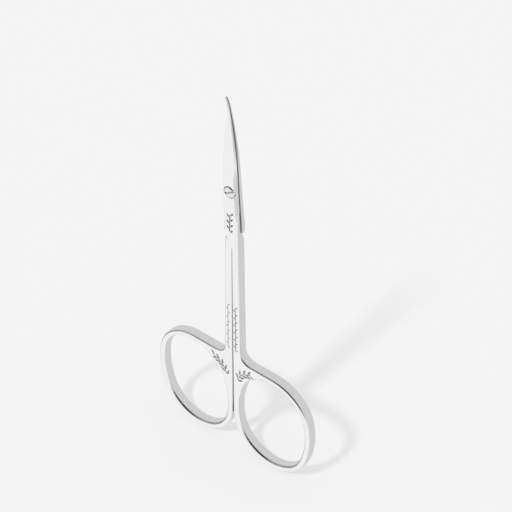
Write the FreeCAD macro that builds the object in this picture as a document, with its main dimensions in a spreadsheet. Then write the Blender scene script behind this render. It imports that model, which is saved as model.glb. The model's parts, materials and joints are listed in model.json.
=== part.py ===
import FreeCAD, Part
import math
import os

import Sketcher

# Closed cuticle scissors, standing on the two finger rings with the tips up.
# X runs across the rings, Y through the thickness (the front face looks to -Y), Z along the length.
# The halves lap in the plane Y = 0, and the whole is then centred over the origin.
SIZES = {
    "ring_hole_width": 17.8,
    "ring_hole_height": 23.0,
    "ring_side_radius": 20.0,
    "ring_tilt_degrees": 5.0,
    "ring_band": 1.43,
    "ring_root_round": 2.6,
    "handle_thickness": 2.36,
    "handle_gap": 0.26,
    "split_gap": 0.05,
    "edge_round": 0.42,
    "back_chamfer": 0.22,
    "shank_width_at_ring": 1.97,
    "shank_width_at_joint": 1.645,
    "shank_length": 30.74,
    "flare_rise": 1.5,
    "neck_rise": 4.4,
    "heel_rise": 4.0,
    "seam_gap": 0.05,
    "shoulder_trim": 0.5,
    "joint_width": 3.75,
    "lap_gap": 0.05,
    "root_rise": 1.5,
    "facet_rise": 3.5,
    "facet_width": 0.3,
    "spine_bevel": 0.3,
    "edge_land": 0.1,
    "edge_setback": 0.26,
    "taper_rise": 6.0,
    "blade_width": 3.45,
    "blade_thickness": 1.05,
    "blade_length": 21.6,
    "blade_lean": 0.45,
    "bow_depth": 0.62,
    "hook_depth": 0.9,
    "tip_width": 0.3,
    "tip_thickness": 0.22,
    "pivot_rise": 7.8,
    "screw_radius": 0.9,
    "screw_clearance": 0.04,
    "head_radius": 1.3,
    "head_rise": 0.14,
    "head_seat_depth": 0.42,
    "head_clearance": 0.08,
    "head_chamfer": 0.15,
    "slot_width": 0.36,
    "slot_depth": 0.3,
    "slot_turn_degrees": 30.0,
    "screw_end_recess": 0.06,
}

doc = FreeCAD.newDocument("cuticle_scissors")
sheet = doc.addObject("Spreadsheet::Sheet", "Sizes")
for row, (alias, number) in enumerate(SIZES.items(), start=1):
    sheet.set(f"A{row}", alias)
    sheet.set(f"B{row}", str(number))
    sheet.setAlias(f"B{row}", alias)
doc.recompute()


class Length:
    """A length worked out from the sheet: the expression that binds it, and its value now."""

    def __init__(self, text, value):
        self.text = text
        self.value = value

    def joined(self, sign, other, value):
        return Length(f"({self.text} {sign} {other.text})", value)

    def __add__(self, other):
        return self.joined("+", other, self.value + other.value)

    def __sub__(self, other):
        return self.joined("-", other, self.value - other.value)

    def __mul__(self, factor):
        factor = as_length(factor)
        return self.joined("*", factor, self.value * factor.value)

    def __truediv__(self, divisor):
        divisor = as_length(divisor)
        return self.joined("/", divisor, self.value / divisor.value)

    def __neg__(self):
        return self * -1


def as_length(number):
    return number if isinstance(number, Length) else Length(str(round(number, 6)), number)


def size(alias):
    return Length(f"Sizes.{alias}", float(sheet.get(alias)))


def sine(degrees):
    return Length(f"sin({degrees.text})", math.sin(math.radians(degrees.value)))


def cosine(degrees):
    return Length(f"cos({degrees.text})", math.cos(math.radians(degrees.value)))


# How near a point has to be to a plane to lie on it.
NEAR = 1e-4

# Lengths that several outlines share.
ZERO = as_length(0)
HALF_THICKNESS = size("handle_thickness") / 2
HALF_GAP = size("handle_gap") / 2
HALF_SPLIT = size("split_gap") / 2
HALF_JOINT = size("joint_width") / 2
HALF_BLADE = size("blade_width") / 2
HALF_LAP = size("lap_gap") / 2

# The finger hole is an oval of four arcs: two sides and two tighter ends, leaning outwards at the top.
HOLE_ACROSS = size("ring_hole_width") / 2
HOLE_ALONG = size("ring_hole_height") / 2
SIDE_RADIUS = size("ring_side_radius")
HOLE_SQUARES = HOLE_ACROSS * HOLE_ACROSS + HOLE_ALONG * HOLE_ALONG
END_RADIUS = (SIDE_RADIUS * HOLE_ACROSS * 2 - HOLE_SQUARES) / ((SIDE_RADIUS - HOLE_ALONG) * 2)
SIDE_OFFSET = SIDE_RADIUS - HOLE_ACROSS
END_OFFSET = HOLE_ALONG - END_RADIUS
LEAN_SINE = sine(size("ring_tilt_degrees"))
LEAN_COSINE = cosine(size("ring_tilt_degrees"))
RING_MIDDLE = HALF_GAP + size("ring_band") + SIDE_RADIUS - SIDE_OFFSET * LEAN_COSINE
RING_LEVEL = size("ring_band") + END_RADIUS + END_OFFSET * LEAN_COSINE
RING_TOP = RING_LEVEL * 2
RING_TOP_ACROSS = RING_MIDDLE + END_OFFSET * LEAN_SINE
RING_TOUCH_LEVEL = RING_LEVEL - SIDE_OFFSET * LEAN_SINE

# Heights, stacked up from the rings to the tips.
SPLIT_HEIGHT = RING_TOP + size("shank_length")
FLARE_HEIGHT = SPLIT_HEIGHT + size("flare_rise")
NECK_HEIGHT = SPLIT_HEIGHT + size("neck_rise")
HEEL_HEIGHT = SPLIT_HEIGHT + size("heel_rise")
ROOT_HEIGHT = NECK_HEIGHT + size("root_rise")
FACET_HEIGHT = ROOT_HEIGHT + size("facet_rise")
TAPER_HEIGHT = FACET_HEIGHT + size("taper_rise")
PIVOT_HEIGHT = ROOT_HEIGHT + size("pivot_rise")

SHANK_EDGE_AT_RING = HALF_GAP + size("shank_width_at_ring")
SHANK_EDGE_AT_JOINT = HALF_SPLIT + size("shank_width_at_joint")
CUTTING_EDGE = HALF_JOINT - size("edge_setback")

# Each half's heel meets the other half's shoulder in a slanting seam that rises from the split to the side.
SEAM_SLOPE = size("heel_rise") / (HALF_JOINT + HALF_SPLIT)
SHOULDER_EDGE = SHANK_EDGE_AT_JOINT - size("shoulder_trim")
SHOULDER_START = SPLIT_HEIGHT - size("seam_gap") + SEAM_SLOPE * size("split_gap")
SHOULDER_TOP = SHOULDER_START + SEAM_SLOPE * (SHOULDER_EDGE - HALF_SPLIT)

# The joint narrows, thins and leans to the left evenly from the blade's root to the start of the taper.
JOINT_LENGTH = size("facet_rise") + size("taper_rise")
JOINT_NARROWING = (HALF_JOINT - HALF_BLADE) / JOINT_LENGTH
JOINT_THINNING = (HALF_THICKNESS - size("blade_thickness")) / JOINT_LENGTH
JOINT_LEANING = size("blade_lean") / JOINT_LENGTH
PIVOT_ACROSS = -JOINT_LEANING * size("pivot_rise")
PIVOT_FACE = HALF_THICKNESS - JOINT_THINNING * size("pivot_rise")
STANDING_SHIFT = (size("bow_depth") + size("hook_depth") + size("tip_thickness") - HALF_THICKNESS) / 2


def new_body(name):
    body = doc.addObject("PartDesign::Body", name)
    body.Label = name
    return body


def new_sketch(body, name, role, lift=ZERO):
    """A sketch on one of the body's origin planes, lifted along the plane's normal."""
    sketch = body.newObject("Sketcher::SketchObject", name)
    plane = next(item for item in body.Origin.OriginFeatures if item.Role == role)
    sketch.AttachmentSupport = [(plane, "")]
    sketch.MapMode = "FlatFace"
    sketch.setExpression("AttachmentOffset.Base.z", lift.text)
    return sketch


def bind(sketch, length, kind, *where):
    """A constraint that follows a length of the sheet."""
    index = sketch.addConstraint(Sketcher.Constraint(kind, *where, length.value))
    sketch.setExpression(f"Constraints[{index}]", length.text)


def bind_point(sketch, place, geometry, point):
    across, along = place
    bind(sketch, across, "DistanceX", -1, 1, geometry, point)
    bind(sketch, along, "DistanceY", -1, 1, geometry, point)


def draw_outline(sketch, corners):
    """A closed outline of lines. A corner is (across, along), or (across, along, radius) where it is round."""
    count = len(corners)
    spots = [FreeCAD.Vector(corner[0].value, corner[1].value, 0) for corner in corners]
    starts, ends = list(spots), [spots[(index + 1) % count] for index in range(count)]
    arcs = {}
    for index, corner in enumerate(corners):
        if len(corner) == 3:
            here, before, after = spots[index], spots[index - 1], spots[(index + 1) % count]
            come, leave = (here - before).normalize(), (after - here).normalize()
            bend = come.getAngle(leave)
            trim = corner[2].value * math.tan(bend / 2)
            ends[index - 1], starts[index] = here - come * trim, here + leave * trim
            left_turn = come.cross(leave).z > 0
            inward = FreeCAD.Vector(-come.y, come.x, 0) * (1 if left_turn else -1)
            centre = ends[index - 1] + inward * corner[2].value
            arcs[index] = (centre, left_turn)
    for start, end in zip(starts, ends):
        sketch.addGeometry(Part.LineSegment(start, end), False)
    for index, corner in enumerate(corners):
        line_before = (index - 1) % count
        if index not in arcs:
            sketch.addConstraint(Sketcher.Constraint("Coincident", line_before, 2, index, 1))
            bind_point(sketch, corner, index, 1)
            continue
        centre, left_turn = arcs[index]
        first, last = (ends[line_before], starts[index]) if left_turn else (starts[index], ends[line_before])
        turns = [math.atan2(spot.y - centre.y, spot.x - centre.x) for spot in (first, last)]
        circle = Part.Circle(centre, FreeCAD.Vector(0, 0, 1), corner[2].value)
        arc = sketch.addGeometry(Part.ArcOfCircle(circle, *turns), False)
        vertex = sketch.addGeometry(Part.Point(spots[index]), True)
        arc_start, arc_end = (1, 2) if left_turn else (2, 1)
        sketch.addConstraint(Sketcher.Constraint("Tangent", line_before, 2, arc, arc_start))
        sketch.addConstraint(Sketcher.Constraint("Tangent", arc, arc_end, index, 1))
        sketch.addConstraint(Sketcher.Constraint("PointOnObject", vertex, 1, line_before))
        sketch.addConstraint(Sketcher.Constraint("PointOnObject", vertex, 1, index))
        bind(sketch, corner[2], "Radius", arc)
        bind_point(sketch, corner[:2], vertex, 1)


def draw_pivot_circle(sketch, radius):
    """A circle about the pivot."""
    centre = FreeCAD.Vector(PIVOT_ACROSS.value, PIVOT_HEIGHT.value, 0)
    sketch.addGeometry(Part.Circle(centre, FreeCAD.Vector(0, 0, 1), radius.value), False)
    bind_point(sketch, (PIVOT_ACROSS, PIVOT_HEIGHT), 0, 3)
    bind(sketch, radius, "Radius", 0)


def draw_oval(sketch, side, band):
    """The finger hole's oval of four tangent arcs, grown outwards by a band."""
    lean = -side * math.radians(size("ring_tilt_degrees").value)
    turn = math.atan2(END_OFFSET.value, SIDE_OFFSET.value)
    arcs = [
        (-SIDE_OFFSET, ZERO, SIDE_RADIUS + band, -turn, turn),
        (ZERO, END_OFFSET, END_RADIUS + band, turn, math.pi - turn),
        (SIDE_OFFSET, ZERO, SIDE_RADIUS + band, math.pi - turn, math.pi + turn),
        (ZERO, -END_OFFSET, END_RADIUS + band, math.pi + turn, 2 * math.pi - turn),
    ]
    places = []
    for across, along, radius, start, stop in arcs:
        place = (
            RING_MIDDLE * side + across * LEAN_COSINE + along * LEAN_SINE * side,
            RING_LEVEL - across * LEAN_SINE * side + along * LEAN_COSINE,
        )
        places.append(place)
        centre = FreeCAD.Vector(place[0].value, place[1].value, 0)
        circle = Part.Circle(centre, FreeCAD.Vector(0, 0, 1), radius.value)
        sketch.addGeometry(Part.ArcOfCircle(circle, start + lean, stop + lean), False)
    for index in range(4):
        sketch.addConstraint(Sketcher.Constraint("Tangent", index, 2, (index + 1) % 4, 1))
        bind(sketch, arcs[index][2], "Radius", index)
    for index in (1, 3):
        bind_point(sketch, places[index], index, 3)


def pad(body, name, sketch, length, backwards):
    feature = body.newObject("PartDesign::Pad", name)
    feature.Profile = sketch
    feature.setExpression("Length", length.text)
    feature.Reversed = backwards
    doc.recompute()
    return feature


def pocket(body, name, sketch, length=None, backwards=False):
    """A cut to a depth, or right through both ways; it has to take material away."""
    before = body.Shape.Volume
    feature = body.newObject("PartDesign::Pocket", name)
    feature.Profile = sketch
    if length is None:
        feature.Type = "ThroughAll"
        feature.SideType = "Symmetric"
    else:
        feature.setExpression("Length", length.text)
        feature.Reversed = backwards
    doc.recompute()
    if not body.Shape.Volume < before:
        raise RuntimeError(f"{name} cuts nothing")
    return feature


def dress_edges(body, name, kind, chosen, measure, amount):
    """A fillet or chamfer on the edges of the body's tip that a test on each edge's points picks out."""
    base = body.Tip
    edges = [edge.discretize(3) for edge in base.Shape.Edges]
    names = [f"Edge{index}" for index, points in enumerate(edges, start=1) if chosen(points)]
    if not names:
        raise RuntimeError(f"{name} finds no edge")
    feature = body.newObject(kind, name)
    feature.Base = (base, names)
    feature.setExpression(measure, amount.text)
    doc.recompute()
    return feature


def blade_section(side, lean, bend, width, edge, thickness, ridge_in, ridge, land, bevel):
    """Six corners of a blade's cross-section: flat inner face, bevelled spine, face, ridge and cutting edge."""
    def corner(across, depth):
        return (across * side - lean, -bend - depth * side)
    return [
        corner(-width, HALF_LAP),
        corner(-width, thickness - bevel),
        corner(bevel - width, thickness),
        corner(edge - ridge_in, ridge),
        corner(edge, land),
        corner(edge, HALF_LAP),
    ]


# How the cross-section changes along the taper, by shares of its length from its start to the tip.
NARROWING_POWER = 2.2
NARROWING_EASE = 1.7
SETBACK_POWER = 4
FACET_FULL, FACET_GONE = 0.04, 0.28
LOW_RIDGE = 0.5
CROWN_START, CROWN_STOP = 0.35, 0.8
CROWN_REACH = 1.1
LAND_LOSS = 0.4
BOW_POWER = 1.1
HOOK_POWER = 10
TAPER_SHARES = (0, 0.1, 0.2, 0.3, 0.42, 0.55, 0.68, 0.78, 0.86, 0.92, 0.965, 1)


def eased(share, start, stop):
    """Nought up to the start, one from the stop on, and a smooth rise between them."""
    part = min(1, max(0, (share - start) / (stop - start)))
    return part * part * (3 - 2 * part)


def along_joint(side, rise):
    """The cross-section at a rise above the blade's root, with the side facet at its full depth."""
    width = HALF_JOINT - JOINT_NARROWING * rise
    thickness = HALF_THICKNESS - JOINT_THINNING * rise
    edge = width - size("edge_setback")
    bevel = size("spine_bevel")
    facet, land = size("facet_width"), size("edge_land")
    return blade_section(side, JOINT_LEANING * rise, ZERO, width, edge, thickness, facet, thickness, land, bevel)


def along_blade(side, share):
    """The cross-section at a share of the taper: it narrows, thins and bends forwards to the tip."""
    narrowed = 1 - (1 - share**NARROWING_POWER) ** NARROWING_EASE
    width = HALF_BLADE + (size("tip_width") / 2 - HALF_BLADE) * narrowed
    edge = width - size("edge_setback") * (1 - share**SETBACK_POWER)
    thickness = size("blade_thickness") + (size("tip_thickness") - size("blade_thickness")) * share
    land = size("edge_land") * (1 - LAND_LOSS * share)
    bevel = size("spine_bevel") * thickness / size("blade_thickness")

    # The side facet runs out early on, and the face then slopes from the spine down to a low ridge.
    facet_left = 1 - eased(share, FACET_FULL, FACET_GONE)
    ridge = land + (thickness - land) * (LOW_RIDGE + (1 - LOW_RIDGE) * facet_left)
    # Towards the tip the ridge moves in to the middle, so that the face is crowned there.
    crowned = eased(share, CROWN_START, CROWN_STOP)
    ridge_in = size("facet_width") * (1 - crowned) + width * (CROWN_REACH * crowned)

    # A slight bow along the whole taper, and a hook in its last few millimetres.
    bend = size("bow_depth") * share**BOW_POWER + size("hook_depth") * share**HOOK_POWER
    return blade_section(side, size("blade_lean"), bend, width, edge, thickness, ridge_in, ridge, land, bevel)


def joint_stations(side):
    """Height and cross-section of the joint, from the blade's root below the pivot to the taper above it."""
    bevel = size("back_chamfer")
    wall = HALF_THICKNESS - bevel
    full = HALF_THICKNESS
    root = blade_section(side, ZERO, ZERO, HALF_JOINT, CUTTING_EDGE, full, bevel, full, wall, bevel)
    return [
        (ROOT_HEIGHT, root),
        (FACET_HEIGHT, along_joint(side, size("facet_rise"))),
        (TAPER_HEIGHT, along_joint(side, JOINT_LENGTH)),
    ]


def taper_stations(side):
    """Height and cross-section of the tapered, bent blade up to its tip."""
    return [(TAPER_HEIGHT + size("blade_length") * share, along_blade(side, share)) for share in TAPER_SHARES]


def loft(body, name, stations, ruled):
    """A loft through cross-sections that lie level at their heights."""
    sections = []
    for index, (height, corners) in enumerate(stations):
        section = new_sketch(body, f"{name}_{index}", "XY_Plane", height)
        draw_outline(section, corners)
        sections.append(section)
    doc.recompute()
    feature = body.newObject("PartDesign::AdditiveLoft", name)
    feature.Profile = sections[0]
    feature.Sections = sections[1:]
    feature.Ruled = ruled
    doc.recompute()
    return feature


def scissor_half(name, side):
    """One forging: finger ring, shank, lapped joint and curved blade.

    The handle lies on the given side in X, at full thickness up to its shoulder. The joint and the
    blade are one layer of the lap: the front layer for the right handle, the rear one for the left.
    """
    body = new_body(name)
    rear_layer = side < 0
    lap_plane = HALF_LAP * side

    def mirrored(corners):
        return [(across * side, *rest) for across, *rest in corners]

    ring = new_sketch(body, f"{name}_ring", "XZ_Plane", -HALF_THICKNESS)
    draw_oval(ring, side, size("ring_band"))
    pad(body, f"{name}_ring_pad", ring, size("handle_thickness"), False)

    foot = [
        (SHANK_EDGE_AT_RING, RING_TOP, size("ring_root_round")),
        (RING_TOP_ACROSS, RING_TOP),
        (RING_TOP_ACROSS, RING_TOUCH_LEVEL),
        (HALF_GAP, RING_TOUCH_LEVEL),
    ]
    layer = new_sketch(body, f"{name}_layer", "XZ_Plane", lap_plane)
    draw_outline(layer, mirrored(foot + [
        (HALF_SPLIT, SPLIT_HEIGHT),
        (-HALF_JOINT, HEEL_HEIGHT),
        (-HALF_JOINT, ROOT_HEIGHT),
        (CUTTING_EDGE, ROOT_HEIGHT),
        (CUTTING_EDGE, NECK_HEIGHT),
        (SHANK_EDGE_AT_JOINT, FLARE_HEIGHT),
    ]))
    pad(body, f"{name}_layer_pad", layer, HALF_THICKNESS - HALF_LAP, rear_layer)

    shoulder = new_sketch(body, f"{name}_shoulder", "XZ_Plane", lap_plane)
    draw_outline(shoulder, mirrored(foot + [
        (HALF_SPLIT, SHOULDER_START),
        (SHOULDER_EDGE, SHOULDER_TOP),
        (SHANK_EDGE_AT_JOINT, FLARE_HEIGHT),
    ]))
    pad(body, f"{name}_shoulder_pad", shoulder, HALF_THICKNESS + HALF_LAP, not rear_layer)

    hole = new_sketch(body, f"{name}_finger_hole", "XZ_Plane")
    draw_oval(hole, side, ZERO)
    pocket(body, f"{name}_finger_hole_cut", hole)

    def on_seam(point):
        seam = SPLIT_HEIGHT + SEAM_SLOPE * (HALF_SPLIT + as_length(abs(point.x)))
        reach = size("seam_gap") + SEAM_SLOPE * size("split_gap")
        return abs(point.z - seam.value) < reach.value + NEAR

    def on_outline(points, face):
        """An edge of the front or back face, but for the seam, which is sharp, and the blade's root."""
        on_face = all(abs(point.y - face.value) < NEAR for point in points)
        at_root = all(point.z > ROOT_HEIGHT.value - NEAR for point in points)
        return on_face and not at_root and not all(on_seam(point) for point in points)

    def on_front(points):
        return on_outline(points, -HALF_THICKNESS)

    def on_back(points):
        return on_outline(points, HALF_THICKNESS)

    dress_edges(body, f"{name}_front_round", "PartDesign::Fillet", on_front, "Radius", size("edge_round"))
    dress_edges(body, f"{name}_back_chamfer", "PartDesign::Chamfer", on_back, "Size", size("back_chamfer"))

    loft(body, f"{name}_joint", joint_stations(side), True)
    loft(body, f"{name}_blade", taper_stations(side), False)
    return body


def front_half():
    """The right handle's half lies in front and turns on the screw, whose head sits in its counterbore."""
    body = scissor_half("front_half", 1)
    bore = new_sketch(body, "front_bore", "XZ_Plane")
    draw_pivot_circle(bore, size("screw_radius") + size("screw_clearance"))
    pocket(body, "front_bore_cut", bore)
    seat = new_sketch(body, "head_seat", "XZ_Plane", PIVOT_FACE - size("head_seat_depth"))
    draw_pivot_circle(seat, size("head_radius") + size("head_clearance"))
    pocket(body, "head_seat_cut", seat, size("handle_thickness"), True)
    return body


def rear_half():
    """The left handle's half lies behind and holds the screw in its tapped hole."""
    body = scissor_half("rear_half", -1)
    bore = new_sketch(body, "tapped_hole", "XZ_Plane")
    draw_pivot_circle(bore, size("screw_radius"))
    pocket(body, "tapped_hole_cut", bore)
    return body


def pivot_screw():
    """A turned screw with a flat slotted head, its end just below the rear half's back face."""
    body = new_body("pivot_screw")
    under_head = size("head_seat_depth") - PIVOT_FACE
    top = -PIVOT_FACE - size("head_rise")
    end = PIVOT_FACE - size("screw_end_recess")
    profile = new_sketch(body, "screw_profile", "XY_Plane")
    draw_outline(profile, [
        (ZERO, top),
        (size("head_radius") - size("head_chamfer"), top),
        (size("head_radius"), top + size("head_chamfer")),
        (size("head_radius"), under_head),
        (size("screw_radius"), under_head),
        (size("screw_radius"), end),
        (ZERO, end),
    ])
    turned = body.newObject("PartDesign::Revolution", "screw_turned")
    turned.Profile = profile
    turned.ReferenceAxis = (profile, ["V_Axis"])
    turned.Angle = 360
    doc.recompute()
    slot = new_sketch(body, "screw_slot", "XZ_Plane", -top - size("slot_depth"))
    reach = size("head_radius") * 2
    half_slot = size("slot_width") / 2
    draw_outline(slot, [(-reach, -half_slot), (reach, -half_slot), (reach, half_slot), (-reach, half_slot)])
    pocket(body, "screw_slot_cut", slot, size("handle_thickness"), True)
    body.Placement = FreeCAD.Placement(FreeCAD.Vector(), FreeCAD.Vector(0, -1, 0), 0)
    body.setExpression("Placement.Rotation.Angle", size("slot_turn_degrees").text)
    body.setExpression("Placement.Base.x", PIVOT_ACROSS.text)
    body.setExpression("Placement.Base.z", PIVOT_HEIGHT.text)
    return body


parts = [front_half(), rear_half(), pivot_screw()]
for part in parts:
    part.setExpression("Placement.Base.y", STANDING_SHIFT.text)
doc.recompute()

for item in doc.Objects:
    if "Invalid" in item.State or "Error" in item.State:
        raise RuntimeError(f"{item.Label} failed: {item.State}")
for part in parts:
    if part.Shape.isNull() or not part.Shape.isValid():
        raise RuntimeError(f"{part.Label} has no valid shape")

os.makedirs("parts", exist_ok=True)
for part in parts:
    part.Shape.exportStep(f"parts/{part.Label}.step")
    box = part.Shape.BoundBox
    print(part.Label, len(part.Shape.Solids), round(part.Shape.Volume, 2), box)
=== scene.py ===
import json
import math

import bmesh
import bpy
from mathutils import Matrix, Vector


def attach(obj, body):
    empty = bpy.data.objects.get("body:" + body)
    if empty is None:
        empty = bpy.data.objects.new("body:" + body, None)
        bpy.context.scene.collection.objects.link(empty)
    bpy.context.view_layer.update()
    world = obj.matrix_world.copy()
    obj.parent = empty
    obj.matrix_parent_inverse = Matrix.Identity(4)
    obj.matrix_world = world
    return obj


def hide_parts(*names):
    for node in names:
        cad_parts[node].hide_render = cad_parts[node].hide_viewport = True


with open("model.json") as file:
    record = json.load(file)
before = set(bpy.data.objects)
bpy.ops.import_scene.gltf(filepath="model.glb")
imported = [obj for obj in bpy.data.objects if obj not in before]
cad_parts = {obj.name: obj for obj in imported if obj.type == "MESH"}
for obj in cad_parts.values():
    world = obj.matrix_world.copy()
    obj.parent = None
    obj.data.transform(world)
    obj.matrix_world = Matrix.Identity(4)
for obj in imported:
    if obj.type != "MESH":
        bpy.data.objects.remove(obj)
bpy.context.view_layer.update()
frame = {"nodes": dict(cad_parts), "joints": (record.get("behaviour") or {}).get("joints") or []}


# Rear half: the left handle with its finger ring, shank, lapped joint and the blade that lies behind.
# One stainless steel forging, ground flat at the lap and buffed all over, with satin side walls.
# A leaf sprig is etched where the shank runs out into the ring, and a finer vine along the shank.
MM = 0.001


def linear(colour):
    """Turns an sRGB hex colour into linear red, green, blue and alpha."""
    parts = [int(colour[place:place + 2], 16) / 255 for place in (1, 3, 5)]
    straight = [part / 12.92 if part <= 0.04045 else ((part + 0.055) / 1.055) ** 2.4 for part in parts]
    return straight + [1.0]


def add_node(tree, kind, settings=None, links=None):
    """Adds a node with its settings and sockets' values, and links sockets of earlier nodes to it."""
    node = tree.nodes.new(kind)
    for name, value in (settings or {}).items():
        if isinstance(name, str) and hasattr(node, name):
            setattr(node, name, value)
        else:
            node.inputs[name].default_value = value
    for name, socket in (links or {}).items():
        tree.links.new(socket, node.inputs[name])
    return node


def new_material(name):
    """A material with an empty node tree, and that tree."""
    material = bpy.data.materials.new(name)
    material.use_nodes = True
    material.node_tree.nodes.clear()
    return material, material.node_tree


# Buffed stainless steel: the flat faces are mopped to a bright, faintly hazy polish that mirrors the
# studio, and the belt-ground side walls keep a satin grey with fine lines along the work. Along each
# cutting edge a narrow grey band fades into the polish: a honed edge, darkened further as painted shade
# for the dark line along the blade's edge.
def buffed_steel():
    material, tree = new_material("Buffed stainless steel")
    # The third tone is the honed edge's grey, darkened further as painted shade.
    wall_tone, face_tone, honed_shade_tone = linear("#ECECEC"), linear("#F5F5F5"), linear("#B6B6B6")
    wall_facing, face_facing = 0.25, 0.75
    wall_rough, face_rough, haze_rough = 0.22, 0.15, 0.04
    haze_size = 1.6 * MM
    # Real polishing lines are under 0.02 mm apart; here they are drawn coarser so that they show.
    grain_width, grain_length, grain_depth = 0.16 * MM, 3.5 * MM, 0.004 * MM
    grain_shade, grain_strength = 0.965, 0.12
    surface = add_node(tree, "ShaderNodeNewGeometry")
    place = add_node(tree, "ShaderNodeTexCoord")
    facing = add_node(tree, "ShaderNodeSeparateXYZ", None, {"Vector": surface.outputs["Normal"]})
    flatness = add_node(tree, "ShaderNodeMath", {"operation": "ABSOLUTE"}, {0: facing.outputs["Y"]})
    face = add_node(tree, "ShaderNodeMapRange",
                    {"interpolation_type": "SMOOTHSTEP", "From Min": wall_facing, "From Max": face_facing},
                    {"Value": flatness.outputs[0]})
    stretch = [1 / grain_width, 1 / grain_width, 1 / grain_length]
    lined = add_node(tree, "ShaderNodeMapping", {"Scale": stretch}, {"Vector": place.outputs["Object"]})
    lines = add_node(tree, "ShaderNodeTexNoise", {"Scale": 1.0, "Detail": 3.0, "Roughness": 0.6},
                     {"Vector": lined.outputs["Vector"]})
    haze = add_node(tree, "ShaderNodeTexNoise", {"Scale": 1 / haze_size, "Detail": 2.0},
                    {"Vector": place.outputs["Object"]})

    # The honed band with its painted shade, in mm. A cutting edge's distance from the blades' middle line
    # is a cubic of the height above their root. The front blade's edge is on the right of its front face,
    # and the rear blade's on the left of its back.
    blade_root, blade_middle, honed_shade_width, honed_shade_start, honed_shade_full = 72.0, -0.45, 0.5, 3.0, 11.0
    edge_cubic = (0.000262, -0.009915, 0.029118, 1.434689)
    spot = add_node(tree, "ShaderNodeSeparateXYZ", None, {"Vector": place.outputs["Object"]})
    height = add_node(tree, "ShaderNodeMath", {"operation": "MULTIPLY_ADD", 1: 1 / MM, 2: -blade_root},
                      {0: spot.outputs["Z"]})
    edge = add_node(tree, "ShaderNodeMath",
                    {"operation": "MULTIPLY_ADD", 1: edge_cubic[0], 2: edge_cubic[1]},
                    {0: height.outputs[0]})
    for term in edge_cubic[2:]:
        edge = add_node(tree, "ShaderNodeMath", {"operation": "MULTIPLY_ADD", 2: term},
                        {0: edge.outputs[0], 1: height.outputs[0]})
    across = add_node(tree, "ShaderNodeMath", {"operation": "MULTIPLY_ADD", 1: 1 / MM, 2: -blade_middle},
                      {0: spot.outputs["X"]})
    front_or_back = add_node(tree, "ShaderNodeMath", {"operation": "SIGN"}, {0: facing.outputs["Y"]})
    inwards = add_node(tree, "ShaderNodeMath", {"operation": "MULTIPLY_ADD"},
                       {0: across.outputs[0], 1: front_or_back.outputs[0], 2: edge.outputs[0]})
    near_edge = add_node(tree, "ShaderNodeMapRange",
                         {"interpolation_type": "SMOOTHSTEP", "From Min": honed_shade_width, "From Max": 0.0},
                         {"Value": inwards.outputs[0]})
    on_blade = add_node(tree, "ShaderNodeMapRange",
                        {"interpolation_type": "SMOOTHSTEP", "From Min": honed_shade_start, "From Max": honed_shade_full},
                        {"Value": height.outputs[0]})
    honed_shade = add_node(tree, "ShaderNodeMath", {"operation": "MULTIPLY"},
                     {0: near_edge.outputs["Result"], 1: on_blade.outputs["Result"]})

    # A Mix node's two colours are its inputs 6 and 7, and the mixed colour is its output 2.
    buffed = add_node(tree, "ShaderNodeMix", {"data_type": "RGBA", 6: wall_tone, 7: face_tone},
                      {0: face.outputs["Result"]})
    # The grey band along each cutting edge is a honed finish with painted shade laid over it.
    tone = add_node(tree, "ShaderNodeMix", {"data_type": "RGBA", 7: honed_shade_tone},
                    {0: honed_shade.outputs[0], 6: buffed.outputs[2]})
    lined_tone = add_node(tree, "ShaderNodeMapRange", {"To Min": grain_shade, "To Max": 1.0},
                          {"Value": lines.outputs["Fac"]})
    colour = add_node(tree, "ShaderNodeVectorMath", {"operation": "SCALE"},
                      {0: tone.outputs[2], "Scale": lined_tone.outputs["Result"]})
    satin = add_node(tree, "ShaderNodeMapRange", {"To Min": wall_rough, "To Max": face_rough},
                     {"Value": face.outputs["Result"]})
    cloud = add_node(tree, "ShaderNodeMapRange", {"To Min": -haze_rough, "To Max": haze_rough},
                     {"Value": haze.outputs["Fac"]})
    rough = add_node(tree, "ShaderNodeMath", {"operation": "ADD"},
                     {0: satin.outputs["Result"], 1: cloud.outputs["Result"]})
    bump = add_node(tree, "ShaderNodeBump", {"Strength": grain_strength, "Distance": grain_depth},
                    {"Height": lines.outputs["Fac"]})
    shader = add_node(tree, "ShaderNodeBsdfPrincipled", {"Metallic": 1.0},
                      {"Base Color": colour.outputs[0], "Roughness": rough.outputs[0],
                       "Normal": bump.outputs["Normal"]})
    add_node(tree, "ShaderNodeOutputMaterial", None, {"Surface": shader.outputs["BSDF"]})
    return material


# Acid-etched stainless steel: the acid leaves a shallow, finely pitted pocket, which looks dull and
# mid grey beside the buffed face.
def etched_steel():
    material, tree = new_material("Acid-etched stainless steel")
    pit_tone, rim_tone = linear("#8E8E8E"), linear("#B6B6B6")
    pit_rough, rim_rough = 0.45, 0.65
    grit = 0.05 * MM
    place = add_node(tree, "ShaderNodeTexCoord")
    pits = add_node(tree, "ShaderNodeTexNoise", {"Scale": 1 / grit, "Detail": 2.0},
                    {"Vector": place.outputs["Object"]})
    tone = add_node(tree, "ShaderNodeMix", {"data_type": "RGBA", 6: pit_tone, 7: rim_tone},
                    {0: pits.outputs["Fac"]})
    rough = add_node(tree, "ShaderNodeMapRange", {"To Min": pit_rough, "To Max": rim_rough},
                     {"Value": pits.outputs["Fac"]})
    shader = add_node(tree, "ShaderNodeBsdfPrincipled", {"Metallic": 1.0},
                      {"Base Color": tone.outputs[2], "Roughness": rough.outputs["Result"]})
    add_node(tree, "ShaderNodeOutputMaterial", None, {"Surface": shader.outputs["BSDF"]})
    return material
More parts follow.
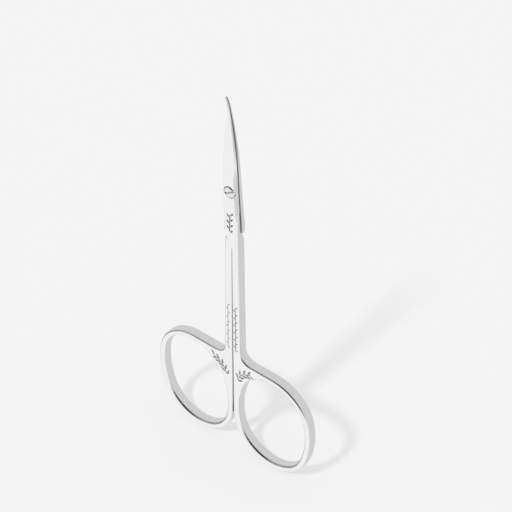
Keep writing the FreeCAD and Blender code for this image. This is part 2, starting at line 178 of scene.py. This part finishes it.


# Fine-ground stainless steel: the lapped faces and the insides of the handles come straight from a fine
# wheel, with close lines across the work. Their dull dark grey is painted shade over that ground finish.
def ground_shaded_steel():
    material, tree = new_material("Fine-ground steel with painted shade")
    # Both tones are darker than the ground steel itself: the extra darkness is painted shade.
    dark_shade_tone, pale_shade_tone = linear("#5E5E5E"), linear("#A8A8A8")
    dark_line_rough, pale_line_rough = 0.28, 0.44
    line_width, line_length = 0.12 * MM, 2.5 * MM
    place = add_node(tree, "ShaderNodeTexCoord")
    stretch = [1 / line_length, 1 / line_width, 1 / line_width]
    lined = add_node(tree, "ShaderNodeMapping", {"Scale": stretch}, {"Vector": place.outputs["Object"]})
    lines = add_node(tree, "ShaderNodeTexNoise", {"Scale": 1.0, "Detail": 2.0},
                     {"Vector": lined.outputs["Vector"]})
    tone = add_node(tree, "ShaderNodeMix", {"data_type": "RGBA", 6: dark_shade_tone, 7: pale_shade_tone},
                    {0: lines.outputs["Fac"]})
    rough = add_node(tree, "ShaderNodeMapRange", {"To Min": dark_line_rough, "To Max": pale_line_rough},
                     {"Value": lines.outputs["Fac"]})
    shader = add_node(tree, "ShaderNodeBsdfPrincipled", {"Metallic": 1.0},
                      {"Base Color": tone.outputs[2], "Roughness": rough.outputs["Result"]})
    add_node(tree, "ShaderNodeOutputMaterial", None, {"Surface": shader.outputs["BSDF"]})
    return material


BUFFED = buffed_steel()
ETCHED = etched_steel()
GROUND_SHADED = ground_shaded_steel()
PIVOT = Vector(frame["joints"][0]["pos_m"])
FRONT_FACE = -0.90


def welded_copy(node, name, finish):
    """A copy of a CAD node's triangles, joined into one closed skin, with the finish on all of it."""
    weld_distance = 1e-7
    mesh = frame["nodes"][node].data.copy()
    mesh.name = name
    skin = bmesh.new()
    skin.from_mesh(mesh)
    bmesh.ops.remove_doubles(skin, verts=skin.verts, dist=weld_distance)
    skin.to_mesh(mesh)
    skin.free()
    if "custom_normal" in mesh.attributes:
        mesh.attributes.remove(mesh.attributes["custom_normal"])
    mesh.materials.clear()
    mesh.materials.append(finish)
    piece = bpy.data.objects.new(name, mesh)
    bpy.context.scene.collection.objects.link(piece)
    return piece


def grind_and_shade(piece, lap_facing):
    """Gives a half's lapped face, handle's inner side and screw seat the ground finish with painted shade."""
    inside, ring_top, lap_start, taper_start = 0.25 * MM, 26 * MM, 57 * MM, 72 * MM
    lap_reach, seat_reach = 0.3 * MM, 1.5 * MM
    lap_square, side_square, seat_slope = 0.85, 0.9, 0.3
    piece.data.materials.append(GROUND_SHADED)
    for polygon in piece.data.polygons:
        spot, way = polygon.center, polygon.normal
        on_lap = way.y * lap_facing > lap_square and spot.z > lap_start
        on_lap = on_lap and (spot.z > taper_start or abs(spot.y - PIVOT.y) < lap_reach)
        in_gap = abs(way.x) > side_square and abs(spot.x) < inside and spot.z < ring_top
        off_axis = math.hypot(spot.x - PIVOT.x, spot.z - PIVOT.z)
        in_seat = abs(way.y) < seat_slope and off_axis < seat_reach
        # The gap between the handles and the screw's seat are darkened as painted shade; the lapped face is
        # ground and painted darker too.
        if on_lap or in_gap or in_seat:
            polygon.material_index = 1


def ease_hole(piece, middle_across):
    """Rounds the finger hole's front edge further than the CAD's fillet, as hand buffing does."""
    cad_round, buffed_round, slack = 0.42 * MM, 0.6 * MM, 0.02 * MM
    middle = Vector((middle_across * MM, 0, 12.92 * MM))
    reach_across, reach_up = 10.4 * MM, 13.0 * MM
    least_turn = 0.02
    facings = [vertex.normal.copy() for vertex in piece.data.vertices]
    for vertex, facing in zip(piece.data.vertices, facings):
        inwards = middle - vertex.co
        on_hole = math.hypot(inwards.x / reach_across, inwards.z / reach_up) < 1
        into_hole = Vector((facing.x, 0, facing.z))
        on_fillet = vertex.co.y < FRONT_FACE * MM + cad_round + slack and into_hole.length > least_turn
        if on_hole and on_fillet and into_hole.dot(inwards) > 0:
            shift = Vector((0, 1 + facing.y, 0)) - into_hole.normalized() * (1 - into_hole.length)
            vertex.co += shift * (buffed_round - cad_round)
    piece.data.update()


def made_plain(piece):
    """Turns what the piece's modifiers give into its own plain mesh."""
    bpy.context.view_layer.update()
    grown = piece.evaluated_get(bpy.context.evaluated_depsgraph_get())
    mesh = bpy.data.meshes.new_from_object(grown)
    piece.modifiers.clear()
    piece.data = mesh


def shade(piece):
    """Smooth shading that keeps flat faces flat and leaves edges above an angle sharp."""
    sharp_angle = math.radians(28)
    piece.data.shade_smooth()
    piece.data.set_sharp_from_angle(angle=sharp_angle)
    even = piece.modifiers.new("even_faces", "WEIGHTED_NORMAL")
    even.mode = "FACE_AREA"
    even.weight = 100
    even.keep_sharp = True
    made_plain(piece)


def sprig_tree():
    """Leaves set alternately along a stem line, as closed prisms that sink into the face."""
    tree = bpy.data.node_groups.new("Leaf sprig", "GeometryNodeTree")
    sockets = tree.interface
    sockets.new_socket("Stem", in_out="INPUT", socket_type="NodeSocketGeometry")
    for label in ("Leaf length", "Leaf width", "Leaf spacing", "Stem width", "Depth", "Leaf angle"):
        sockets.new_socket(label, in_out="INPUT", socket_type="NodeSocketFloat")
    sockets.new_socket("Finish", in_out="INPUT", socket_type="NodeSocketMaterial")
    sockets.new_socket("Sprig", in_out="OUTPUT", socket_type="NodeSocketGeometry")
    given = add_node(tree, "NodeGroupInput").outputs

    # One leaf: a flat prism pointed at both ends, its base at the origin and its tip along X.
    prism = add_node(tree, "GeometryNodeMeshCylinder", {"Vertices": 16, "Radius": 1.0},
                     {"Depth": given["Depth"]})
    spot = add_node(tree, "GeometryNodeInputPosition")
    part = add_node(tree, "ShaderNodeSeparateXYZ", None, {"Vector": spot.outputs[0]})
    half_length = add_node(tree, "ShaderNodeMath", {"operation": "MULTIPLY", 1: 0.5},
                           {0: given["Leaf length"]})
    half_width = add_node(tree, "ShaderNodeMath", {"operation": "MULTIPLY", 1: 0.5},
                          {0: given["Leaf width"]})
    ahead = add_node(tree, "ShaderNodeMath", {"operation": "ADD", 1: 1.0}, {0: part.outputs["X"]})
    along = add_node(tree, "ShaderNodeMath", {"operation": "MULTIPLY"},
                     {0: ahead.outputs[0], 1: half_length.outputs[0]})
    width_in = add_node(tree, "ShaderNodeMath", {"operation": "ABSOLUTE"}, {0: part.outputs["Y"]})
    point = add_node(tree, "ShaderNodeMath", {"operation": "MULTIPLY"},
                     {0: width_in.outputs[0], 1: part.outputs["Y"]})
    across = add_node(tree, "ShaderNodeMath", {"operation": "MULTIPLY"},
                      {0: point.outputs[0], 1: half_width.outputs[0]})
    shaped = add_node(tree, "ShaderNodeCombineXYZ", None,
                      {"X": along.outputs[0], "Y": across.outputs[0], "Z": part.outputs["Z"]})
    leaf = add_node(tree, "GeometryNodeSetPosition", None,
                    {"Geometry": prism.outputs["Mesh"], "Position": shaped.outputs[0]})

    # Points along the stem, each with a leaf turned to one side of it and then to the other.
    points = add_node(tree, "GeometryNodeCurveToPoints", {"mode": "LENGTH"},
                      {"Curve": given["Stem"], "Length": given["Leaf spacing"]})
    index = add_node(tree, "GeometryNodeInputIndex")
    parity = add_node(tree, "ShaderNodeMath", {"operation": "MODULO", 1: 2.0}, {0: index.outputs[0]})
    side = add_node(tree, "ShaderNodeMath", {"operation": "MULTIPLY_ADD", 1: 2.0, 2: -1.0},
                    {0: parity.outputs[0]})
    lean = add_node(tree, "ShaderNodeMath", {"operation": "MULTIPLY"},
                    {0: side.outputs[0], 1: given["Leaf angle"]})
    gap = add_node(tree, "ShaderNodeMath", {"operation": "MULTIPLY"},
                   {0: side.outputs[0], 1: given["Stem width"]})
    upright = add_node(tree, "FunctionNodeAxesToRotation",
                       {"primary_axis": "X", "secondary_axis": "Z", 1: (0, -1, 0)},
                       {0: points.outputs["Tangent"]})
    spun = add_node(tree, "FunctionNodeAxisAngleToRotation", {"Axis": (0, 0, 1)},
                    {"Angle": lean.outputs[0]})
    turned = add_node(tree, "FunctionNodeRotateRotation", {"rotation_space": "LOCAL"},
                      {0: upright.outputs[0], 1: spun.outputs[0]})
    leaves = add_node(tree, "GeometryNodeInstanceOnPoints", None,
                      {"Points": points.outputs["Points"], "Instance": leaf.outputs[0],
                       "Rotation": turned.outputs[0]})
    offset = add_node(tree, "ShaderNodeCombineXYZ", None, {"Y": gap.outputs[0]})
    beside = add_node(tree, "GeometryNodeTranslateInstances", {"Local Space": True},
                      {"Instances": leaves.outputs[0], "Translation": offset.outputs[0]})

    # The stem itself, a square groove along the line.
    square = add_node(tree, "GeometryNodeCurvePrimitiveQuadrilateral", None,
                      {0: given["Stem width"], 1: given["Stem width"]})
    stem = add_node(tree, "GeometryNodeCurveToMesh", {"Fill Caps": True},
                    {0: given["Stem"], 1: square.outputs[0]})
    both = add_node(tree, "GeometryNodeJoinGeometry")
    tree.links.new(beside.outputs[0], both.inputs[0])
    tree.links.new(stem.outputs[0], both.inputs[0])
    real = add_node(tree, "GeometryNodeRealizeInstances", None, {0: both.outputs[0]})
    finished = add_node(tree, "GeometryNodeSetMaterial", None,
                        {0: real.outputs[0], "Material": given["Finish"]})
    add_node(tree, "NodeGroupOutput", None, {"Sprig": finished.outputs[0]})
    return tree


SPRIG = sprig_tree()


def etch_sprig(piece, stem_points, leaf_length, leaf_width, spacing, stem_width, depth):
    """Sinks a leaf sprig along a stem line into the piece's front face. All sizes are in mm."""
    leaf_angle = math.radians(38)
    stem = bpy.data.curves.new("stem_line", "CURVE")
    stem.dimensions = "3D"
    line = stem.splines.new("NURBS")
    line.points.add(len(stem_points) - 1)
    for point, (across, height) in zip(line.points, stem_points):
        point.co = (across * MM, FRONT_FACE * MM, height * MM, 1)
    line.order_u = 3
    line.use_endpoint_u = True
    line.resolution_u = 16
    cutter = bpy.data.objects.new("sprig_cutter", stem)
    bpy.context.scene.collection.objects.link(cutter)
    grow = cutter.modifiers.new("sprig", "NODES")
    grow.node_group = SPRIG
    values = {"Leaf length": leaf_length * MM, "Leaf width": leaf_width * MM,
              "Leaf spacing": spacing * MM, "Stem width": stem_width * MM,
              "Depth": depth * MM, "Leaf angle": leaf_angle, "Finish": ETCHED}
    for item in SPRIG.interface.items_tree:
        if item.in_out == "INPUT" and item.name in values:
            grow[item.identifier] = values[item.name]
    bpy.context.view_layer.update()
    grown = cutter.evaluated_get(bpy.context.evaluated_depsgraph_get())
    shape = bpy.data.meshes.new_from_object(grown)
    bpy.data.objects.remove(cutter)
    sunk = bpy.data.objects.new("sprig_cutter", shape)
    bpy.context.scene.collection.objects.link(sunk)
    cut = piece.modifiers.new("etching", "BOOLEAN")
    cut.operation = "DIFFERENCE"
    cut.solver = "EXACT"
    cut.use_self = True
    cut.material_mode = "TRANSFER"
    cut.object = sunk
    made_plain(piece)
    bpy.data.objects.remove(sunk)


# One sprig fills the web between shank and ring, and a finer vine climbs the shank above it. The stems
# are written for the right handle, in mm across and up.
WEB_STEM = [(1.5, 20.4), (2.0, 21.7), (2.9, 22.8), (4.0, 23.4), (5.0, 23.7)]
WEB_SIZES = {"leaf_length": 1.5, "leaf_width": 0.5, "spacing": 0.6, "stem_width": 0.2, "depth": 0.1}
SHANK_STEM = [(1.03, 28.4), (1.02, 32.5), (1.0, 36.5), (0.98, 40.5)]
HOLE_MIDDLE = 10.5
rear_half = welded_copy("rear_half", "rear_half_steel", BUFFED)
grind_and_shade(rear_half, lap_facing=-1)
ease_hole(rear_half, -HOLE_MIDDLE)
etch_sprig(rear_half, [(-across, height) for across, height in WEB_STEM], **WEB_SIZES)
etch_sprig(rear_half, [(-across, height) for across, height in SHANK_STEM],
           leaf_length=0.55, leaf_width=0.2, spacing=1.2, stem_width=0.12, depth=0.1)
shade(rear_half)
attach(rear_half, "rear")
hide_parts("rear_half")


# Pivot screw: a slotted, shouldered screw that holds the two halves at the lap.
# Turned from stainless bar, its head faced and polished, and driven tight into the rear half.

# Turned stainless steel: the tool leaves faint rings about the axis, and the head looks a little greyer
# than the buffed faces.
def turned_steel():
    material, tree = new_material("Turned stainless steel")
    groove_tone, crest_tone = linear("#E2E2E2"), linear("#EFEFEF")
    groove_rough, crest_rough = 0.2, 0.28
    # Real tool marks are finer than this. A wave texture of scale 1 has a ring every 0.314 units.
    ring_pitch, ring_depth, ring_strength, wave_unit = 0.12 * MM, 0.003 * MM, 0.1, 0.314
    place = add_node(tree, "ShaderNodeTexCoord")
    centred = add_node(tree, "ShaderNodeVectorMath", {"operation": "SUBTRACT", 1: PIVOT},
                       {0: place.outputs["Object"]})
    rings = add_node(tree, "ShaderNodeTexWave",
                     {"wave_type": "RINGS", "rings_direction": "Y", "Scale": wave_unit / ring_pitch,
                      "Distortion": 0.4, "Detail": 1.0},
                     {"Vector": centred.outputs["Vector"]})
    tone = add_node(tree, "ShaderNodeMix", {"data_type": "RGBA", 6: groove_tone, 7: crest_tone},
                    {0: rings.outputs["Fac"]})
    rough = add_node(tree, "ShaderNodeMapRange", {"To Min": groove_rough, "To Max": crest_rough},
                     {"Value": rings.outputs["Fac"]})
    bump = add_node(tree, "ShaderNodeBump", {"Strength": ring_strength, "Distance": ring_depth},
                    {"Height": rings.outputs["Fac"]})
    shader = add_node(tree, "ShaderNodeBsdfPrincipled", {"Metallic": 1.0},
                      {"Base Color": tone.outputs[2], "Roughness": rough.outputs["Result"],
                       "Normal": bump.outputs["Normal"]})
    add_node(tree, "ShaderNodeOutputMaterial", None, {"Surface": shader.outputs["BSDF"]})
    return material


pivot_screw = welded_copy("pivot_screw", "pivot_screw_steel", turned_steel())
shade(pivot_screw)
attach(pivot_screw, "rear")
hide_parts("pivot_screw")


# Front half: the right handle and the blade that lies in front, nearly the mirror of the rear half.
# Forged, ground and buffed in the same way, it turns on the screw's plain shoulder.
# It carries the same sprigs, and one more on the joint below the screw.
JOINT_STEM = [(-0.3, 60.4), (-0.2, 61.8), (-0.25, 63.3), (-0.15, 64.8)]
front_half = welded_copy("front_half", "front_half_steel", BUFFED)
grind_and_shade(front_half, lap_facing=1)
ease_hole(front_half, HOLE_MIDDLE)
etch_sprig(front_half, WEB_STEM, **WEB_SIZES)
etch_sprig(front_half, SHANK_STEM,
           leaf_length=0.6, leaf_width=0.28, spacing=1.0, stem_width=0.18, depth=0.1)
etch_sprig(front_half, JOINT_STEM,
           leaf_length=1.0, leaf_width=0.42, spacing=0.7, stem_width=0.26, depth=0.24)
shade(front_half)
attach(front_half, "front")
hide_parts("front_half")


# Studio: a wide sheet of matte white card under the scissors, and the even pale room round it.
# The steel mirrors the bright table in front of it, the dim room above that, and a grey wall behind.

# Matte white card: uncoated, with a faint fibre. Three quarters of what the camera sees of it is its
# own pale tone, so that only the key lamp's shadow shows on it.
card, tree = new_material("Matte white card")
fibre_size = 0.4 * MM
own_tone_share = 0.75
floor_reach = 4.0
place = add_node(tree, "ShaderNodeTexCoord")
fibre = add_node(tree, "ShaderNodeTexNoise", {"Scale": 1 / fibre_size, "Detail": 2.0},
                 {"Vector": place.outputs["Object"]})
tone = add_node(tree, "ShaderNodeMix", {"data_type": "RGBA", 6: linear("#F2F2F2"), 7: linear("#F5F5F5")},
                {0: fibre.outputs["Fac"]})
matte = add_node(tree, "ShaderNodeBsdfDiffuse", None, {"Color": tone.outputs[2]})
pale = add_node(tree, "ShaderNodeEmission", {"Color": linear("#E4E4E4"), "Strength": 1.0})
path = add_node(tree, "ShaderNodeLightPath")
share = add_node(tree, "ShaderNodeMath", {"operation": "MULTIPLY", 1: own_tone_share},
                 {0: path.outputs["Is Camera Ray"]})
lit = add_node(tree, "ShaderNodeMixShader", None,
               {0: share.outputs[0], 1: matte.outputs["BSDF"], 2: pale.outputs[0]})
add_node(tree, "ShaderNodeOutputMaterial", None, {"Surface": lit.outputs[0]})
floor_mesh = bpy.data.meshes.new("card_floor")
corners = [(-floor_reach, -floor_reach, 0), (floor_reach, -floor_reach, 0),
           (floor_reach, floor_reach, 0), (-floor_reach, floor_reach, 0)]
floor_mesh.from_pydata(corners, [], [(0, 1, 2, 3)])
floor_mesh.materials.append(card)
floor = bpy.data.objects.new("card_floor", floor_mesh)
bpy.context.scene.collection.objects.link(floor)
floor.visible_glossy = False

# Room: even and pale to the camera and as light. In the steel it is white in front and below, grey
# behind, and dim above and at the far left, darkest in one corner at the front right.
room_tone = linear("#F4F4F4")
wall_tone, table_tone = linear("#DFDFDF"), linear("#FBFBFB")
dim_tone, corner_tone = linear("#929292"), linear("#2C2C2C")
wall_side, table_side = 0.35, -0.35
table_top, dim_above = -0.35, 0.45
dim_from_left, dim_at_left = -0.58, -0.85
towards_corner = (0.483, -0.583, 0.653)
corner_rim, corner_heart = 0.4, 0.85
room = bpy.data.worlds.new("Pale room")
bpy.context.scene.world = room
room.use_nodes = True
tree = room.node_tree
tree.nodes.clear()
path = add_node(tree, "ShaderNodeLightPath")
place = add_node(tree, "ShaderNodeTexCoord")
way = add_node(tree, "ShaderNodeSeparateXYZ", None, {"Vector": place.outputs["Generated"]})
ahead = add_node(tree, "ShaderNodeMapRange",
                 {"interpolation_type": "SMOOTHSTEP", "From Min": wall_side, "From Max": table_side},
                 {"Value": way.outputs["Y"]})
tent = add_node(tree, "ShaderNodeMix", {"data_type": "RGBA", 6: wall_tone, 7: table_tone},
                {0: ahead.outputs["Result"]})
rising = add_node(tree, "ShaderNodeMapRange",
                  {"interpolation_type": "SMOOTHSTEP", "From Min": table_top, "From Max": dim_above},
                  {"Value": way.outputs["Z"]})
leftward = add_node(tree, "ShaderNodeMapRange",
                    {"interpolation_type": "SMOOTHSTEP", "From Min": dim_from_left, "From Max": dim_at_left},
                    {"Value": way.outputs["X"]})
beyond = add_node(tree, "ShaderNodeMath", {"operation": "MAXIMUM"},
                  {0: rising.outputs["Result"], 1: leftward.outputs["Result"]})
gap = add_node(tree, "ShaderNodeMath", {"operation": "MULTIPLY"},
               {0: beyond.outputs[0], 1: ahead.outputs["Result"]})
nearness = add_node(tree, "ShaderNodeVectorMath", {"operation": "DOT_PRODUCT", 1: towards_corner},
                    {0: place.outputs["Generated"]})
corner = add_node(tree, "ShaderNodeMapRange",
                  {"interpolation_type": "SMOOTHSTEP", "From Min": corner_rim, "From Max": corner_heart},
                  {"Value": nearness.outputs["Value"]})
dim = add_node(tree, "ShaderNodeMix", {"data_type": "RGBA", 6: dim_tone, 7: corner_tone},
               {0: corner.outputs["Result"]})
studio = add_node(tree, "ShaderNodeMix", {"data_type": "RGBA"},
                  {0: gap.outputs[0], 6: tent.outputs[2], 7: dim.outputs[2]})
seen = add_node(tree, "ShaderNodeMix", {"data_type": "RGBA", 6: room_tone},
                {0: path.outputs["Is Glossy Ray"], 7: studio.outputs[2]})
light = add_node(tree, "ShaderNodeBackground", {"Strength": 1.0}, {"Color": seen.outputs[2]})
add_node(tree, "ShaderNodeOutputWorld", None, {"Surface": light.outputs["Background"]})

# Key lamp: a far, soft lamp in front and above, which throws the pale shadow behind the scissors.
towards_key = Vector((-0.01, -0.79, 1.0))
key_data = bpy.data.lights.new("key_lamp", "SUN")
key_data.angle = math.radians(6.2)
key_data.energy = 2.15
key = bpy.data.objects.new("key_lamp", key_data)
key.rotation_euler = towards_key.to_track_quat("Z", "Y").to_euler()
bpy.context.scene.collection.objects.link(key)
key.visible_glossy = False

# Camera: a long lens from the front right and above. The aim is the point of the handles' front face
# that falls on the aim pixel.
azimuth, elevation = math.radians(39.665), math.radians(40.774)
image_side, focal_pixels, sensor = 512, 2022.77, 36.0
aim, aim_pixel, aim_distance = Vector((0, FRONT_FACE * MM, 1.21 * MM)), (232.936, 440.057), 440.33 * MM
level = math.cos(elevation)
back = Vector((math.sin(azimuth) * level, -math.cos(azimuth) * level, math.sin(elevation)))
right = Vector((math.cos(azimuth), math.sin(azimuth), 0))
up = back.cross(right)
metres_per_pixel = aim_distance / focal_pixels
lens = bpy.data.cameras.new("photo_camera")
lens.sensor_width = sensor
lens.lens = sensor * focal_pixels / image_side
lens.clip_start = 0.01
lens.clip_end = 20
camera = bpy.data.objects.new("photo_camera", lens)
bpy.context.scene.collection.objects.link(camera)
shift_across = (aim_pixel[0] - image_side / 2) * metres_per_pixel
shift_down = (aim_pixel[1] - image_side / 2) * metres_per_pixel
camera.location = aim + back * aim_distance - right * shift_across + up * shift_down
camera.rotation_euler = Matrix((right, up, back)).transposed().to_euler()
bpy.context.scene.camera = camera
bpy.context.scene.view_settings.view_transform = "Standard"
